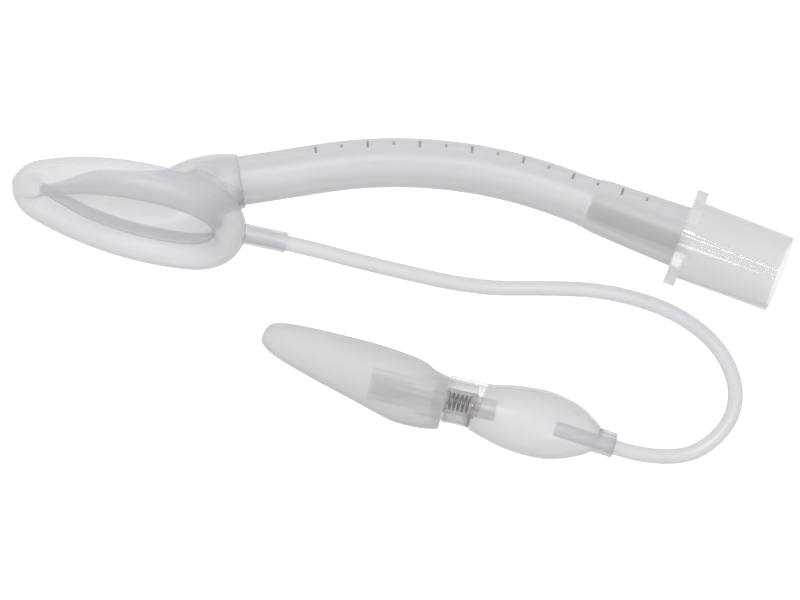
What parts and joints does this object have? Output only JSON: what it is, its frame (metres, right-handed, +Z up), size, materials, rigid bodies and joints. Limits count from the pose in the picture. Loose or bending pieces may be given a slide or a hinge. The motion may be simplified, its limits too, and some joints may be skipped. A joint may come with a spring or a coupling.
{
  "type": "laryngeal mask airway",
  "caption": "Soft oval mask with an inflatable cuff on a curved breathing tube with a 15 mm cone, and a side line to a pilot balloon and inflation valve.",
  "frame": {"origin": "on the table, under the middle of the box round mask, airway tube and connector", "axes": "+X along the object from the mask's tip to the connector, +Y to the tube's outer side, +Z up from the table it lies on"},
  "size_m": [0.1521, 0.0647, 0.0248],
  "materials": {
    "soft_vinyl": "soft frosted clear vinyl",
    "tube_vinyl": "soft clear vinyl, satin",
    "clear_connector": "clear hard plastic, polished",
    "line_vinyl": "soft clear vinyl, glossy",
    "balloon_film": "thin clear vinyl film",
    "valve_housing": "clear hard plastic, polished",
    "seal_rubber": "dark soft rubber",
    "valve_plunger": "moulded plastic",
    "spring_steel": "drawn wire",
    "cap_vinyl": "frosted soft vinyl"
  },
  "bodies": {
    "airway": {"cuff": "soft_vinyl", "mask_bowl": "soft_vinyl", "airway_tube": "tube_vinyl", "airway_connector": "clear_connector", "line_sleeve": "soft_vinyl", "pilot_line": "line_vinyl", "pilot_balloon": "balloon_film", "valve_body": "valve_housing", "valve_tail": "valve_housing", "valve_spring": "spring_steel"},
    "plunger": {"valve_plunger": "valve_plunger", "valve_seal": "seal_rubber"},
    "cap": {"valve_cap": "cap_vinyl"}
  },
  "joints": [
    {"name": "plunger_slide", "type": "slide", "parent": "airway", "child": "plunger", "axis": [0.9763, -0.2164, 0], "range_m": [0, 0.0015], "stiffness_N_per_m": 150, "springref_m": -0.0005, "deforming": ["valve_spring"]},
    {"name": "cap_pull", "type": "slide", "parent": "airway", "child": "cap", "axis": [-0.9763, 0.2164, 0], "range_m": [0, 0.03]}
  ]
}
